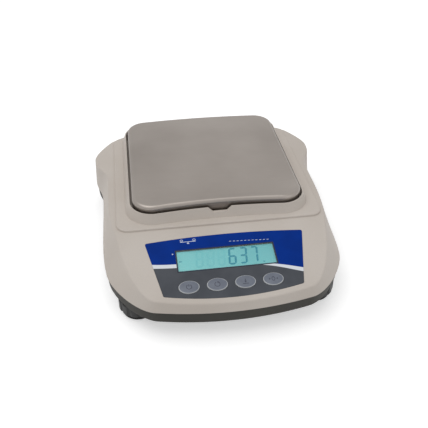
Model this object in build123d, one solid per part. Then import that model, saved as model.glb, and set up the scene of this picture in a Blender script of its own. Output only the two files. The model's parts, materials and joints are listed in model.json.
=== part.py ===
import os
from math import atan2, cos, degrees, hypot, radians, sin, tan

from build123d import *

os.makedirs("parts", exist_ok=True)

# Precision balance, in millimetres. The origin is on the bench, below the middle of the housing.
# +X points to the right of the person reading the display, +Y to the back, +Z up.

# Heights, counted upwards from the bench
pad_height = 5.0
knob_height = 10.5
knob_gap = 1.5
tray_height = 12.0
shoulder_rise = 25.5
step_height = 2.0
lip_rise = 8.5
pan_rise = 5.5
console_tilt = 12.15

# Seam outline of the housing, seen from above
body_length = 252.0
front_corner_x = 62.0
front_bow = 7.0
side_x = 98.5
side_setback = 56.0
side_lean = 0.15
waist_x = 101.0
waist_y = 8.0
ear_start_y = 30.0
ear_x = 108.0
ear_y = 78.0
ear_sweep = 26.0
rear_corner_x = 79.0
rear_bow = 14.0
corner_fullness = 0.45

# How far the walls lean inwards between the seam and the shoulder
front_inset = 2.2
side_inset = 16.5
side_crown_lean = 0.4
waist_inset = 7.0
ear_inset = 1.5
rear_inset = 1.5
shoulder_half = 89.5
shoulder_fall = 13.0
crown_round = 1.8

# Smallest distance that counts as apart
touch = 0.01

# Housing walls, the dark tray and its ribs
wall = 2.5
tray_wall = 2.5
tray_floor = 2.5
tray_draft = 0.8
tray_seam_inset = 0.7
tray_edge_round = 2.0
rib_thick = 1.8
rib_height = 4.0
long_rib_x = 24.0
front_rib_y = -60.0
rear_rib_y = 99.0

# Platform, pan well and weighing pan
platform_half_width = 87.5
platform_front_y = -49.8
platform_corner = 10.0
platform_margin = 2.3
platform_rear_round = 6.0
platform_edge_round = 1.0
well_half_width = 75.0
well_length = 156.0
well_front_y = -44.0
well_front_bow = 5.8
well_back_bow = 3.9
well_corner = 19.6
well_depth = 8.5
deck_thick = 2.5
lip_width = 1.0
lip_spread = 4.5
pan_gap = 2.0
pan_sheet = 1.2
pan_skirt = 12.5
pan_round = 3.0
notch_top_width = 20.0
notch_floor_width = 12.0
notch_depth = 4.0
notch_round = 1.6

# Console: distances down the slope from the step, and across
film_top = 10.4
film_length = 62.0
film_top_half = 65.5
film_bottom_half = 54.6
film_top_bow = 3.2
film_bottom_bow = 6.2
film_corner = 1.6
film_thick = 0.4
film_gap = 0.15
window_width = 80.8
window_height = 22.0
window_drop = 34.1
window_shift = -1.5
window_thick = 1.0
window_gap = 0.1
window_ledge = 0.8
key_width = 16.4
key_height = 11.8
key_pitch = 22.0
key_drop = 59.8
key_count = 4
key_rise = 0.7
key_round = 0.5
key_gap = 0.25
key_travel = 0.5
key_flange = 1.2
key_flange_thick = 0.9
key_stem_d = 3.0
key_stem = 2.6

# Display and keypad board behind the console
glass_gap = 0.3
glass_thick = 2.8
glass_margin = 2.0
pane_gap = 0.2
pane_top_gap = 0.1
light_thick = 3.4
frame_gap = 0.2
frame_wall = 2.0
circuit_thick = 1.6
board_border = 21.6
board_width = window_width + 2 * board_border
board_drop = 16.0
board_length = 52.0
pillar_d = 6.0
pillar_inset = 5.0
switch_size = 7.0
switch_height = 4.0
switch_gap = 0.3
switch_bore = 2.6
small_screw_d = 2.5
small_head_d = 4.6
small_head = 1.8
small_screw_bite = 4.5

# Load cell, the plate under its fixed end, and the stop under its free end
cell_length = 110.0
cell_width = 22.0
cell_height = 18.0
cell_end = 25.0
cell_bore_d = 11.0
cell_bore_pitch = 28.0
cell_slot = 2.0
seat_height = 3.0
seat_border = 3.0
plate_thick = 2.5
cell_screw_d = 5.0
cell_screw_pitch = 14.0
cell_screw_bite = 9.0
cell_head_d = 8.5
cell_head = 2.6
cell_sink_gap = 0.5
stop_d = 6.0
stop_gap = 0.7
stop_boss_wall = 3.0
stop_boss_height = 2.6

# Pan carrier on the free end, with a rubber cap on each post
carrier_gap = 3.0
carrier_thick = 4.0
carrier_arm = 12.0
carrier_round = 4.0
hub_d = 36.0
post_pitch = 90.0
post_d = 10.0
post_hole_gap = 2.5
cap_d = 14.0
cap_height = 7.0
cap_top = 3.0
cap_round = 1.0

# Levelling feet
foot_front_x = 74.6
foot_front_y = -83.0
foot_rear_x = 80.0
foot_rear_y = 80.0
knob_r = 16.0
knob_edge = 1.2
flute_count = 12
flute_r = 2.6
flute_depth = 1.1
foot_pad_r = 13.5
foot_pad_edge = 1.0
pin_d = 6.0
pin_length = 2.2
pin_gap = 0.3
stud_d = 8.0
stud_gap = 0.05
stud_length = 30.0
stud_grip = 7.5
insert_d = 11.0
insert_height = 9.0
boss_wall = 2.5

# Housing screws and the bubble level
screw_d = 3.0
screw_gap = 0.2
screw_head_d = 5.6
screw_head = 2.4
screw_sink = 4.0
screw_length = 14.0
screw_boss_d = 10.0
screw_spots = [(86.0, -38.0), (88.0, 24.0), (56.0, 103.0)]
level_y = 94.0
level_d = 15.0
level_height = 8.0
level_flange = 1.5
level_flange_thick = 1.0
level_glass_d = 11.0
level_glass_thick = 2.0
level_bowl = 4.0

# Main board on the tray, and the power socket in the back wall
main_board_width = 44.0
main_board_length = 96.0
main_board_x = 49.0
main_board_y = 22.0
stand_height = 5.0
stand_d = 6.0
stand_inset = 4.5
chips = [
    (14.0, 14.0, 2.0, 0.0, 20.0),
    (20.0, 8.0, 3.0, 2.0, -4.0),
    (10.0, 16.0, 9.0, -8.0, -30.0),
]
socket_x = -30.0
socket_face_y = 118.0
socket_d = 10.0
socket_length = 13.0
socket_flange_d = 14.0
socket_flange = 1.5
socket_bore_d = 6.3
socket_bore = 9.5
socket_pin_d = 2.1
socket_nut = 2.5
port_width = 20.0
port_height = 16.0
port_wall = 3.0

# Levels and places that follow from the sizes above
tray_z = pad_height + knob_height + knob_gap
floor_z = tray_z + tray_floor
seam_z = tray_z + tray_height
shoulder_z = seam_z + shoulder_rise
platform_z = shoulder_z + step_height
lip_z = platform_z + lip_rise
pan_top = lip_z + pan_rise
pan_inside = pan_top - pan_sheet
deck_z = lip_z - well_depth
crown_z = platform_z
front_y = -body_length / 2
back_y = body_length / 2
well_mid_y = well_front_y + well_length / 2
slope = radians(console_tilt)
console = Plane((0, platform_front_y, shoulder_z), x_dir=(1, 0, 0), z_dir=(0, -sin(slope), cos(slope)))
glass_top = -wall - glass_gap
board_face = glass_top - glass_thick - light_thick
key_spots = [window_shift + key_pitch * (n - (key_count - 1) / 2) for n in range(key_count)]
seat_z = floor_z + seat_height
cell_z = seat_z + plate_thick
cell_top = cell_z + cell_height
cell_front_y = well_mid_y - cell_length / 2
cell_back_y = well_mid_y + cell_length / 2
fixed_y = cell_back_y - cell_end / 2
free_y = cell_front_y + cell_end / 2
carrier_z = cell_top + carrier_gap
carrier_top = carrier_z + carrier_thick
post_top = pan_inside - cap_top
posts = [
    (side * post_pitch / 2, well_mid_y + end * post_pitch / 2)
    for side in (-1, 1)
    for end in (-1, 1)
]
screws = [(side * x, y) for x, y in screw_spots for side in (-1, 1)]
feet = {
    "front_left": (-foot_front_x, foot_front_y),
    "front_right": (foot_front_x, foot_front_y),
    "rear_left": (-foot_rear_x, foot_rear_y),
    "rear_right": (foot_rear_x, foot_rear_y),
}
port_z = seam_z + wall + port_height / 2
main_board_z = floor_z + stand_height


def toward(start, goal, share):
    """Point that lies a share of the way from start to goal."""
    return (start[0] + share * (goal[0] - start[0]), start[1] + share * (goal[1] - start[1]))


def rounding(start, corner, end):
    """Curve that rounds a corner and leaves both sides smoothly."""
    return Bezier(start, toward(start, corner, corner_fullness), toward(end, corner, corner_fullness), end)


def body_plan(inset, share=0.0):
    """Outline of the housing from above, at the seam (share 0) or leaning in as at the shoulder (share 1)."""
    front = front_y + inset + share * front_inset
    back = back_y - inset - share * rear_inset
    nose = (front_corner_x - inset - share * front_inset, front + front_bow)
    side = (side_x - inset - share * side_inset, front_y + side_setback)
    waist = (waist_x - inset - share * waist_inset, waist_y)
    flare = (waist[0], ear_start_y)
    ear = (ear_x - inset - share * ear_inset, ear_y)
    heel = (rear_corner_x - inset - share * rear_inset, back - rear_bow)
    lean = side_lean + share * (side_crown_lean - side_lean)
    nose_rise = 2 * front_bow / nose[0]
    heel_rise = 2 * rear_bow / heel[0]
    corner_y = (nose[1] + nose_rise * (side[0] - nose[0] - lean * side[1])) / (1 - nose_rise * lean)
    front_corner = (side[0] + lean * (corner_y - side[1]), corner_y)
    rear_corner = (ear[0], heel[1] - heel_rise * (ear[0] - heel[0]))
    reach = (waist[1] - side[1]) / 3
    right = [
        rounding(nose, front_corner, side),
        Bezier(side, (side[0] + lean * reach, side[1] + reach), (waist[0], waist[1] - reach), waist),
        Line(waist, flare),
        Bezier(flare, (flare[0], flare[1] + ear_sweep), (ear[0], ear[1] - ear_sweep), ear),
        rounding(ear, rear_corner, heel),
    ]
    left = [edge.mirror(Plane.YZ) for edge in right]
    front_edge = ThreePointArc((-nose[0], nose[1]), (0, front), nose)
    back_edge = ThreePointArc(heel, (0, back), (-heel[0], heel[1]))
    return make_face(Wire(right + left + [front_edge, back_edge]))


def well_plan(grow):
    """Outline of the pan well, grown outwards on every side."""
    half = well_half_width + grow
    front = well_front_y - grow
    back = well_front_y + well_length + grow
    outline = make_face(Wire([
        ThreePointArc((-half, front), (0, front + well_front_bow), (half, front)),
        Line((half, front), (half, back)),
        ThreePointArc((half, back), (0, back + well_back_bow), (-half, back)),
        Line((-half, back), (-half, front)),
    ]))
    return fillet(outline.vertices(), well_corner + grow)


def film_plan(grow):
    """Outline of the printed film, in the console's own plane."""
    top = -film_top + grow
    bottom = -film_top - film_length - grow
    half_top = film_top_half + grow
    half_bottom = film_bottom_half + grow
    upper = top - film_top_bow
    lower = bottom + film_bottom_bow
    outline = make_face(Wire([
        ThreePointArc((-half_top, upper), (0, top), (half_top, upper)),
        Line((half_top, upper), (half_bottom, lower)),
        ThreePointArc((half_bottom, lower), (0, bottom), (-half_bottom, lower)),
        Line((-half_bottom, lower), (-half_top, upper)),
    ]))
    return fillet(outline.vertices(), film_corner)


def window_plan(grow):
    return Pos(window_shift, -window_drop) * Rectangle(window_width + 2 * grow, window_height + 2 * grow)


def key_plan(x, grow):
    return Pos(x, -key_drop) * Ellipse(key_width / 2 + grow, key_height / 2 + grow)


def prism(plan, low, high):
    """Upright solid over a plan, between two heights."""
    return extrude(Pos(0, 0, low) * plan, high - low)


def rod(x, y, diameter, low, high):
    """Upright round bar at a place, between two heights."""
    return prism(Pos(x, y) * Circle(diameter / 2), low, high)


def on_console(plan, low, high):
    """Solid over a plan drawn in the console plane, between two depths along its normal."""
    return extrude(console.offset(low) * plan, high - low)


def rim_edges(form):
    """Edges between the leaning walls and the top faces, without the folds inside the top."""
    rim = []
    for edge in form.edges():
        middle = edge.center()
        low = min(corner.Z for corner in edge.vertices())
        on_step = abs(middle.Y - platform_front_y) < touch and abs(middle.X) < touch
        on_fold = abs(abs(middle.X) - shoulder_half) < touch
        if low > seam_z + touch and not on_step and not on_fold:
            rim.append(edge)
    return rim


def housing_form(inset):
    """Leaning walls under a level shoulder, falling sides and the sloped console."""
    walls = loft([
        Pos(0, 0, seam_z) * body_plan(inset),
        Pos(0, 0, crown_z) * body_plan(inset, (crown_z - seam_z) / shoulder_rise),
    ], ruled=True)
    reach = body_length
    top = shoulder_z - inset
    drop = reach * tan(slope)
    fall = reach * tan(radians(shoulder_fall))
    side_view = Polyline(
        (0, platform_front_y - reach, -reach),
        (0, reach, -reach),
        (0, reach, top),
        (0, platform_front_y, top),
        (0, platform_front_y - reach, top - drop),
        close=True,
    )
    front_view = Polyline(
        (-shoulder_half - reach, 0, -reach),
        (shoulder_half + reach, 0, -reach),
        (shoulder_half + reach, 0, top - fall),
        (shoulder_half, 0, top),
        (-shoulder_half, 0, top),
        (-shoulder_half - reach, 0, top - fall),
        close=True,
    )
    lengthwise = extrude(make_face(side_view), reach, both=True)
    crosswise = extrude(make_face(front_view), reach, both=True)
    return walls & lengthwise & crosswise


def platform():
    """Low platform with rounded corners that the pan well rises from."""
    length = back_y - platform_front_y
    plan = Pos(0, platform_front_y + length / 2) * RectangleRounded(2 * platform_half_width, length, platform_corner)
    block = prism(plan, shoulder_z - wall, platform_z)
    block &= prism(body_plan(platform_margin, 1.0), shoulder_z - wall, platform_z)
    block = fillet([edge for edge in block.edges() if is_rear_corner(edge)], platform_rear_round)
    return fillet(block.faces().sort_by(Axis.Z)[-1].edges(), platform_edge_round)


def is_rear_corner(edge):
    """Whether an edge is one of the platform's upright edges at the back."""
    middle = edge.center()
    on_side = abs(abs(middle.X) - platform_half_width) < touch
    upright = abs(middle.Z - (shoulder_z - wall + platform_z) / 2) < touch
    return on_side and upright and middle.Y > well_mid_y


def well_wall():
    """Sloping wall round the pan well, from the platform up to the lip."""
    outside = loft([
        Pos(0, 0, platform_z) * well_plan(lip_spread),
        Pos(0, 0, lip_z) * well_plan(lip_width),
    ], ruled=True)
    return outside - prism(well_plan(0), deck_z, lip_z)


def finger_notch():
    """Dip in the front of the lip, where a finger gets under the pan."""
    flare = (notch_top_width - notch_floor_width) / 2
    low = lip_z - notch_depth
    high = lip_z + notch_depth
    outline = make_face(Polyline(
        (-notch_floor_width / 2, 0, low),
        (notch_floor_width / 2, 0, low),
        (notch_floor_width / 2 + 2 * flare, 0, high),
        (-notch_floor_width / 2 - 2 * flare, 0, high),
        close=True,
    ))
    outline = fillet(outline.vertices().sort_by(Axis.Z)[:2], notch_round)
    reach = well_front_bow + lip_spread + lip_width
    return Pos(0, well_front_y + well_front_bow + lip_width, 0) * extrude(outline, reach, dir=(0, -1, 0))


def pillar_spots():
    """Places of the board pillars, in the console plane."""
    across = board_width / 2 - pillar_inset
    upper = -board_drop - pillar_inset
    lower = -board_drop - board_length + pillar_inset
    return [(x, y) for x in (-across, across) for y in (upper, lower)]


def upper_housing():
    """Moulded top: walls, console, platform, pan well and the bosses inside it."""
    shell = fillet(rim_edges(housing_form(0)), crown_round) - housing_form(wall) + platform()
    shell -= prism(well_plan(-lip_width), seam_z, deck_z - deck_thick)
    inner_skin = housing_form(wall / 2) + prism(well_plan(-lip_width), seam_z, deck_z)
    bosses = [rod(x, y, screw_boss_d, seam_z, deck_z) for x, y in screws]
    bosses.append(Pos(socket_x, socket_face_y - port_wall, port_z) * Box(
        port_width + 2 * wall,
        port_wall + wall,
        port_height + 2 * wall,
        align=(Align.CENTER, Align.MIN, Align.CENTER),
    ))
    inside = [boss & inner_skin for boss in bosses]
    pillars = [on_console(Pos(x, y) * Circle(pillar_d / 2), board_face, -wall / 2) for x, y in pillar_spots()]
    shell += [well_wall()] + inside + pillars
    cuts = [finger_notch()]
    cuts += [rod(x, y, post_d + 2 * post_hole_gap, seam_z, lip_z) for x, y in posts]
    cuts += [rod(x, y, screw_d, tray_z, tray_z + screw_sink + screw_length) for x, y in screws]
    cuts.append(rod(0, level_y, level_d, seam_z, lip_z))
    for x, y in pillar_spots():
        cuts.append(on_console(Pos(x, y) * Circle(small_screw_d / 2), board_face, board_face + small_screw_bite))
    cuts.append(Pos(socket_x, socket_face_y, port_z) * Box(
        port_width,
        body_length / 4,
        port_height,
        align=(Align.CENTER, Align.MIN, Align.CENTER),
    ))
    cuts.append(along_y(socket_x, port_z, socket_d, socket_face_y - 2 * port_wall, socket_face_y))
    cuts.append(on_console(film_plan(film_gap), -film_thick, wall))
    cuts.append(on_console(window_plan(window_gap), -window_thick, wall))
    cuts.append(on_console(window_plan(-window_ledge), -2 * wall, wall))
    cuts += [on_console(key_plan(x, key_gap), -2 * wall, wall) for x in key_spots]
    return shell - cuts


def along_y(x, z, diameter, near, far):
    """Level round bar pointing to the back, between two places along it."""
    return extrude(Plane((x, near, z), x_dir=(1, 0, 0), z_dir=(0, 1, 0)) * Circle(diameter / 2), far - near)


def tray_form(inset):
    """Solid below the seam that narrows a little towards its underside."""
    return loft([
        Pos(0, 0, tray_z) * body_plan(inset + tray_seam_inset + tray_draft),
        Pos(0, 0, seam_z) * body_plan(inset + tray_seam_inset),
    ], ruled=True)


def lower_housing():
    """Dark tray with foot bosses, screw posts, board stands, ribs and the seat of the load cell."""
    outside = tray_form(0)
    outside = fillet(outside.faces().sort_by(Axis.Z)[0].edges(), tray_edge_round)
    inside = tray_form(tray_wall)
    hollow = inside & Pos(0, 0, floor_z) * Box(
        body_length, 2 * body_length, tray_height, align=(Align.CENTER, Align.CENTER, Align.MIN)
    )
    rib_run = Box(2 * long_rib_x, rib_thick, rib_height, align=(Align.CENTER, Align.CENTER, Align.MIN))
    spine_length = rear_rib_y - front_rib_y
    spine = Box(rib_thick, spine_length, rib_height, align=(Align.CENTER, Align.MIN, Align.MIN))
    raised = [Pos(0, y, floor_z) * rib_run for y in (front_rib_y, rear_rib_y)]
    raised += [Pos(side * long_rib_x, front_rib_y, floor_z) * spine for side in (-1, 1)]
    raised += [rod(x, y, insert_d + 2 * boss_wall, floor_z, tray_z + insert_height) for x, y in feet.values()]
    raised += [rod(x, y, screw_boss_d, floor_z, seam_z) for x, y in screws]
    raised += [rod(x, y, stand_d, floor_z, main_board_z) for x, y in stand_spots()]
    raised.append(rod(0, free_y, stop_d + 2 * stop_boss_wall, floor_z, floor_z + stop_boss_height))
    seat = Rectangle(cell_width + 2 * seat_border, cell_end + 2 * seat_border)
    raised.append(prism(Pos(0, fixed_y) * seat, floor_z, seat_z))
    cuts = [rod(x, y, insert_d, tray_z, seam_z) for x, y in feet.values()]
    cuts += [rod(x, y, screw_d + 2 * screw_gap, tray_z, seam_z) for x, y in screws]
    cuts += [rod(x, y, screw_head_d + 2 * screw_gap, tray_z, tray_z + screw_sink) for x, y in screws]
    cuts += [rod(x, y, small_screw_d, main_board_z - small_screw_bite, main_board_z) for x, y in stand_spots()]
    cuts.append(rod(0, free_y, stop_d, tray_z, seam_z))
    for y in cell_screw_rows(fixed_y):
        cuts.append(rod(0, y, cell_screw_d, tray_z, seam_z))
        cuts.append(rod(0, y, cell_head_d + 2 * cell_sink_gap, tray_z, tray_z + cell_head + cell_sink_gap))
    return (outside - hollow) + raised - cuts


def cell_screw_rows(middle):
    return (middle - cell_screw_pitch / 2, middle + cell_screw_pitch / 2)


def stand_spots():
    """Places of the stands under the main board."""
    across = main_board_width / 2 - stand_inset
    along = main_board_length / 2 - stand_inset
    return [(main_board_x + side * across, main_board_y + end * along) for side in (-1, 1) for end in (-1, 1)]


def load_cell():
    """Aluminium bending beam with the double bore that makes it flex in parallel."""
    middle_z = cell_z + cell_height / 2
    beam = Pos(0, well_mid_y, middle_z) * Box(cell_width, cell_length, cell_height)
    bores = [
        Pos(0, well_mid_y + end * cell_bore_pitch / 2, middle_z) * Rot(0, 90, 0) * Cylinder(cell_bore_d / 2, cell_width)
        for end in (-1, 1)
    ]
    slot = Pos(0, well_mid_y, middle_z) * Box(cell_width, cell_bore_pitch, cell_slot)
    threads = [rod(0, y, cell_screw_d, cell_z, cell_z + cell_screw_bite) for y in cell_screw_rows(fixed_y)]
    threads += [rod(0, y, cell_screw_d, cell_top - cell_screw_bite, cell_top) for y in cell_screw_rows(free_y)]
    return beam - bores - [slot] - threads


def cell_plate():
    """Steel plate between the tray and the fixed end."""
    plate = prism(Pos(0, fixed_y) * Rectangle(cell_width, cell_end), seat_z, cell_z)
    return plate - [rod(0, y, cell_screw_d, seat_z, cell_z) for y in cell_screw_rows(fixed_y)]


def cell_screws():
    """Screws from below, through the tray and the plate into the fixed end."""
    head_top = tray_z + cell_head + cell_sink_gap
    return [
        rod(0, y, cell_head_d, head_top - cell_head, head_top) + rod(0, y, cell_screw_d, head_top, cell_z + cell_screw_bite)
        for y in cell_screw_rows(fixed_y)
    ]


def overload_stop():
    """Set screw that the free end lands on when the pan is overloaded."""
    return rod(0, free_y, stop_d, tray_z, cell_z - stop_gap)


def pan_carrier():
    """Cast cross on the free end of the load cell, with a post under each corner of the pan."""
    reach = hypot(post_pitch, post_pitch)
    angle = degrees(atan2(post_pitch, post_pitch))
    plan = Pos(0, (cell_front_y + well_mid_y) / 2) * Rectangle(cell_width, well_mid_y - cell_front_y)
    plan += Pos(0, well_mid_y) * Circle(hub_d / 2)
    for turn in (-angle, angle):
        plan += Pos(0, well_mid_y) * Rot(0, 0, turn) * SlotCenterToCenter(reach, carrier_arm)
    cross = prism(plan, carrier_z, carrier_top)
    corners = [edge for edge in cross.edges().filter_by(Axis.Z) if hub_distance(edge) < hub_d / 2 + carrier_round]
    cross = fillet(corners, carrier_round)
    foot = prism(Pos(0, free_y) * Rectangle(cell_width, cell_end), cell_top, carrier_z)
    uprights = [rod(x, y, post_d, carrier_top, post_top) for x, y in posts]
    cuts = []
    for y in cell_screw_rows(free_y):
        cuts.append(rod(0, y, cell_screw_d, cell_top, carrier_top))
        cuts.append(rod(0, y, cell_head_d + 2 * cell_sink_gap, carrier_top - cell_head - cell_sink_gap, carrier_top))
    return cross + [foot] + uprights - cuts


def hub_distance(edge):
    return hypot(edge.center().X, edge.center().Y - well_mid_y)


def carrier_screws():
    """Screws from above, through the cross into the free end."""
    head_z = carrier_top - cell_head - cell_sink_gap
    return [
        rod(0, y, cell_head_d, head_z, head_z + cell_head) + rod(0, y, cell_screw_d, cell_top - cell_screw_bite, head_z)
        for y in cell_screw_rows(free_y)
    ]


def post_caps():
    """Rubber caps that the pan rests on."""
    caps = []
    for x, y in posts:
        cap = rod(x, y, cap_d, pan_inside - cap_height, pan_inside)
        cap = fillet(cap.edges().group_by(Axis.Z)[-1], cap_round)
        caps.append(cap - rod(x, y, post_d, pan_inside - cap_height, post_top))
    return caps


def weighing_pan():
    """Pressed steel pan: a flat top, a rounded edge and a skirt that hangs in the well."""
    low = pan_top - pan_skirt
    outside = prism(well_plan(-pan_gap), low, pan_top)
    outside = fillet(outside.faces().sort_by(Axis.Z)[-1].edges(), pan_round)
    inside = prism(well_plan(-pan_gap - pan_sheet), low, pan_inside)
    inside = fillet(inside.faces().sort_by(Axis.Z)[-1].edges(), pan_round - pan_sheet)
    return outside - inside


def overlay_film():
    """Printed film with cut-outs for the window and the keys."""
    film = on_console(film_plan(0), -film_thick, 0)
    holes = [on_console(window_plan(window_gap), -film_thick, 0)]
    holes += [on_console(key_plan(x, key_gap), -film_thick, 0) for x in key_spots]
    return film - holes


def display_window():
    return on_console(window_plan(0), -window_thick, 0)


def display_glass():
    """Display glass with a raised pane that fills the opening below the window."""
    back = on_console(window_plan(glass_margin), glass_top - glass_thick, glass_top)
    return back + on_console(window_plan(-window_ledge - pane_gap), glass_top, -window_thick - pane_top_gap)


def display_light():
    """Light guide behind the display glass."""
    return on_console(window_plan(glass_margin), board_face, board_face + light_thick)


def display_frame():
    """Frame that holds the glass and the light guide on the board."""
    inner = glass_margin + frame_gap
    ring = on_console(window_plan(inner + frame_wall), board_face, glass_top)
    return ring - on_console(window_plan(inner), board_face, glass_top)


def keypad_board():
    plan = Pos(0, -board_drop - board_length / 2) * Rectangle(board_width, board_length)
    board = on_console(plan, board_face - circuit_thick, board_face)
    holes = [
        on_console(Pos(x, y) * Circle(small_screw_d / 2), board_face - circuit_thick, board_face)
        for x, y in pillar_spots()
    ]
    return board - holes


def key_switches():
    """Switch under each key, with the well that the key's stem presses into."""
    switches = []
    for x in key_spots:
        spot = Pos(x, -key_drop)
        body = on_console(spot * Rectangle(switch_size, switch_size), board_face, board_face + switch_height)
        bore = spot * Circle(key_stem_d / 2 + switch_gap)
        top = board_face + switch_height
        switches.append(body - on_console(bore, top - switch_bore, top))
    return switches


def key(x):
    """Key cap with its flange behind the console and its stem."""
    cap = on_console(key_plan(x, 0), -wall, key_rise)
    cap = fillet(cap.edges().group_by(console_depth)[-1], key_round)
    flange = on_console(key_plan(x, key_flange), -wall - key_flange_thick, -wall)
    stem_top = -wall - key_flange_thick
    stem = on_console(Pos(x, -key_drop) * Circle(key_stem_d / 2), stem_top - key_stem, stem_top)
    return cap + flange + stem


def console_depth(edge):
    """Height of an edge above the console plane, rounded so that one ring of edges stays together."""
    return round(console.to_local_coords(edge.center()).Z, 3)


def board_screws():
    """Screws that hold the keypad board on its pillars."""
    back = board_face - circuit_thick
    return [
        on_console(Pos(x, y) * Circle(small_head_d / 2), back - small_head, back)
        + on_console(Pos(x, y) * Circle(small_screw_d / 2), back, board_face + small_screw_bite)
        for x, y in pillar_spots()
    ]


def main_board():
    board_top = main_board_z + circuit_thick
    plan = Pos(main_board_x, main_board_y) * Rectangle(main_board_width, main_board_length)
    board = prism(plan, main_board_z, board_top)
    return board - [rod(x, y, small_screw_d, main_board_z, board_top) for x, y in stand_spots()]


def board_chips():
    """Converter, processor and plug block on the main board."""
    low = main_board_z + circuit_thick
    return [
        prism(Pos(main_board_x + x, main_board_y + y) * Rectangle(width, length), low, low + height)
        for width, length, height, x, y in chips
    ]


def main_board_screws():
    low = main_board_z + circuit_thick
    return [
        rod(x, y, small_head_d, low, low + small_head) + rod(x, y, small_screw_d, main_board_z - small_screw_bite, low)
        for x, y in stand_spots()
    ]


def power_socket():
    """Round low-voltage socket with a centre pin, held in the back wall by its flange."""
    back = socket_face_y + socket_flange
    body = along_y(socket_x, port_z, socket_d, back - socket_length, socket_face_y)
    flange = along_y(socket_x, port_z, socket_flange_d, socket_face_y, back)
    bore = along_y(socket_x, port_z, socket_bore_d, back - socket_bore, back)
    pin = along_y(socket_x, port_z, socket_pin_d, back - socket_bore, back - socket_flange)
    return body + flange - bore + pin


def socket_nut_ring():
    """Nut that pulls the socket against the back wall from inside."""
    near = socket_face_y - port_wall - socket_nut
    hexagon = Plane((socket_x, near, port_z), x_dir=(1, 0, 0), z_dir=(0, 1, 0)) * RegularPolygon(socket_flange_d / 2, 6)
    return extrude(hexagon, socket_nut) - along_y(socket_x, port_z, socket_d, near, near + socket_nut)


def housing_screws():
    """Screws from below that close the housing."""
    seat = tray_z + screw_sink
    return [
        rod(x, y, screw_head_d, seat - screw_head, seat) + rod(x, y, screw_d, seat, seat + screw_length)
        for x, y in screws
    ]


def level_case():
    """Round case of the bubble level, hung by its flange in the floor of the well."""
    top = deck_z + level_flange_thick
    case = rod(0, level_y, level_d, top - level_height, top)
    case += rod(0, level_y, level_d + 2 * level_flange, deck_z, top)
    bowl_z = top - level_glass_thick - level_bowl
    return case - rod(0, level_y, level_glass_d, bowl_z, top)


def level_glass():
    top = deck_z + level_flange_thick
    return rod(0, level_y, level_glass_d, top - level_glass_thick, top)


def foot_insert(x, y):
    """Brass insert in the tray that the foot's stud screws through."""
    return rod(x, y, insert_d, tray_z, tray_z + insert_height) - rod(
        x, y, stud_d + 2 * stud_gap, tray_z, tray_z + insert_height
    )


def foot_pad(x, y):
    """Rubber pad that stands on the bench while the knob above it turns."""
    pad = rod(x, y, 2 * foot_pad_r, 0, pad_height)
    pad = fillet(pad.edges().filter_by(GeomType.CIRCLE), foot_pad_edge)
    return pad - rod(x, y, pin_d + 2 * pin_gap, pad_height - pin_length - pin_gap, pad_height)


def foot_knob(x, y):
    """Fluted knob with the pin that turns in the pad."""
    top = pad_height + knob_height
    knob = rod(x, y, 2 * knob_r, pad_height, top)
    knob = fillet(knob.edges().filter_by(GeomType.CIRCLE), knob_edge)
    ring = PolarLocations(knob_r + flute_r - flute_depth, flute_count)
    flutes = [Pos(x, y, pad_height) * spot * flute() for spot in ring]
    pin = rod(x, y, pin_d, pad_height - pin_length, pad_height)
    return knob - flutes + pin - rod(x, y, stud_d, top - stud_grip, top)


def flute():
    return Cylinder(flute_r, knob_height, align=(Align.CENTER, Align.CENTER, Align.MIN))


def foot_stud(x, y):
    low = pad_height + knob_height - stud_grip
    return rod(x, y, stud_d, low, low + stud_length)


def group(solids):
    return Compound(children=[solid.solid() for solid in solids])


pieces = {
    "upper_housing": upper_housing(),
    "lower_housing": lower_housing(),
    "housing_screws": group(housing_screws()),
    "weighing_pan": weighing_pan(),
    "pan_carrier": pan_carrier(),
    "post_caps": group(post_caps()),
    "carrier_screws": group(carrier_screws()),
    "load_cell": load_cell(),
    "cell_plate": cell_plate(),
    "cell_screws": group(cell_screws()),
    "overload_stop": overload_stop(),
    "overlay_film": overlay_film(),
    "display_window": display_window(),
    "display_glass": display_glass(),
    "display_light": display_light(),
    "display_frame": display_frame(),
    "keypad_board": keypad_board(),
    "key_switches": group(key_switches()),
    "board_screws": group(board_screws()),
    "main_board": main_board(),
    "board_chips": group(board_chips()),
    "main_board_screws": group(main_board_screws()),
    "power_socket": power_socket(),
    "socket_nut": socket_nut_ring(),
    "level_case": level_case(),
    "level_glass": level_glass(),
    "foot_inserts": group([foot_insert(x, y) for x, y in feet.values()]),
}
for number, x in enumerate(key_spots, start=1):
    pieces["key_" + str(number)] = key(x)
for place, (x, y) in feet.items():
    pieces["foot_pad_" + place] = foot_pad(x, y)
    pieces["foot_knob_" + place] = foot_knob(x, y)
    pieces["foot_stud_" + place] = foot_stud(x, y)

for name, shape in pieces.items():
    export_step(shape, "parts/" + name + ".step")
print(len(pieces), "pieces written")
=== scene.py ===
import json
from math import cos, pi, radians, sin

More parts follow.
